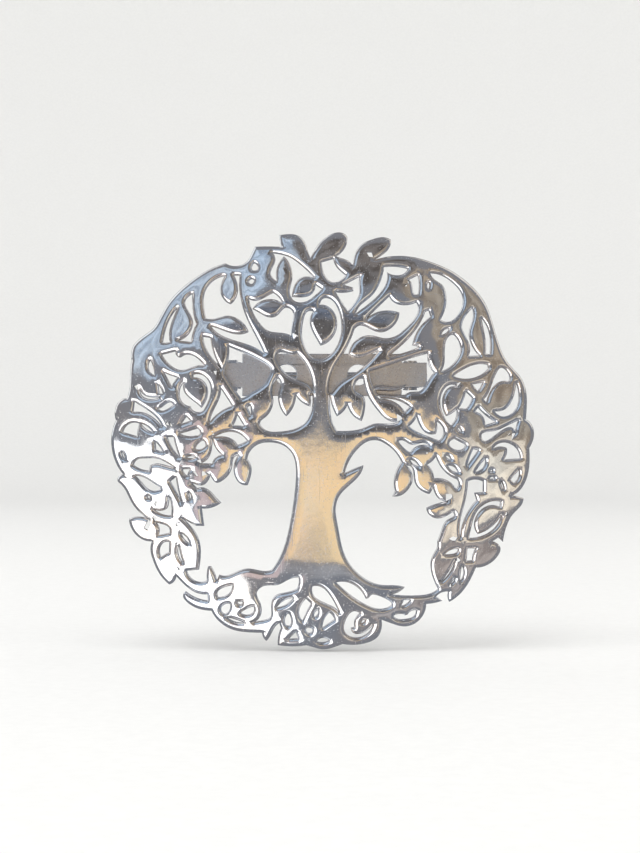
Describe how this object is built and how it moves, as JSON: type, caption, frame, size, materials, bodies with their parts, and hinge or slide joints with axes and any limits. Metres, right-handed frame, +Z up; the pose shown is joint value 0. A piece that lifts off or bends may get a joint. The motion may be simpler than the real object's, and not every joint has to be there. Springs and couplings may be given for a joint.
{
  "type": "brooch",
  "caption": "Domed openwork tree of life brooch in polished silver-coloured metal, with a hinged needle and a rolling catch on a bar at its back",
  "frame": {"origin": "on the needle's axis, at the middle of its straight length, where cloth holds the brooch", "axes": "+Z up the tree's trunk, +X to the viewer's right, -Y out of the front towards the viewer, +Y towards the cloth"},
  "size_m": [0.0502, 0.0054, 0.0496],
  "materials": {
    "polished_metal": "mirror polish with fine scratches",
    "solder": "smooth solder, slightly duller than the sheet",
    "finding_steel": "drawn wire, lightly polished"
  },
  "bodies": {
    "brooch": {"tree_plate": "polished_metal", "solder_joints": "solder", "pin_bar": "polished_metal", "hinge_rivet": "finding_steel"},
    "needle": {"pin_stem": "finding_steel"},
    "catch": {"catch_roller": "polished_metal"}
  },
  "joints": [
    {"name": "needle_hinge", "type": "hinge", "parent": "brooch", "child": "needle", "pos_m": [0.0105, 0, 0], "axis": [0, 0, -1], "range_deg": [0, 100]},
    {"name": "catch_turn", "type": "hinge", "parent": "brooch", "child": "catch", "pos_m": [-0.01085, 0, 0], "axis": [-1, 0, 0], "range_deg": [0, 150]}
  ]
}
